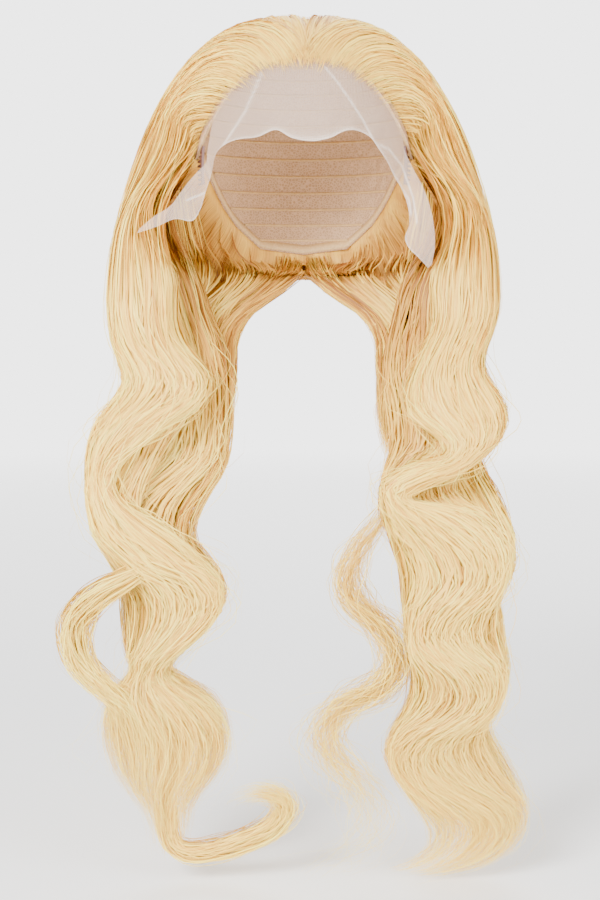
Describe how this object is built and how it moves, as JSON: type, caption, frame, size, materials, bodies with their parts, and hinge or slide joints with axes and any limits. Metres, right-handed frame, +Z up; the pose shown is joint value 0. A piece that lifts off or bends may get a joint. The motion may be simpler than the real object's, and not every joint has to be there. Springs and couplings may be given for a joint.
{
  "type": "lace front wig",
  "caption": "Long wavy pale blonde wig on a hollow cap, with a sheer lace panel at the forehead, side combs, and locks that fall forward over both shoulders.",
  "frame": {"origin": "inside top of the cap, where the top of the wearer's head touches it", "axes": "+Z up, -Y towards the face opening, +X towards the wearer's left"},
  "size_m": [0.3136, 0.2224, 0.5885],
  "materials": {
    "hair": "long fine pale blonde strands with a soft sheen",
    "lace": "sheer fine net, matt",
    "cap_net": "beige stretch net with sewn rows of weft, matt",
    "comb": "dark brown, satin"
  },
  "bodies": {
    "root": {"cap": "cap_net", "lace_front": "lace", "comb_left": "comb", "comb_right": "comb", "crown_hair": "hair", "front_hair_left": "hair", "front_hair_right": "hair", "side_hair_left": "hair", "side_hair_right": "hair", "back_hair_left": "hair", "back_hair_right": "hair", "left_front_lock": "hair", "left_inner_lock": "hair", "left_neck_lock": "hair", "left_thin_lock": "hair", "right_front_lock": "hair", "right_inner_lock": "hair", "right_neck_lock": "hair", "right_outer_lock": "hair", "right_end_curl": "hair"}
  },
  "joints": []
}
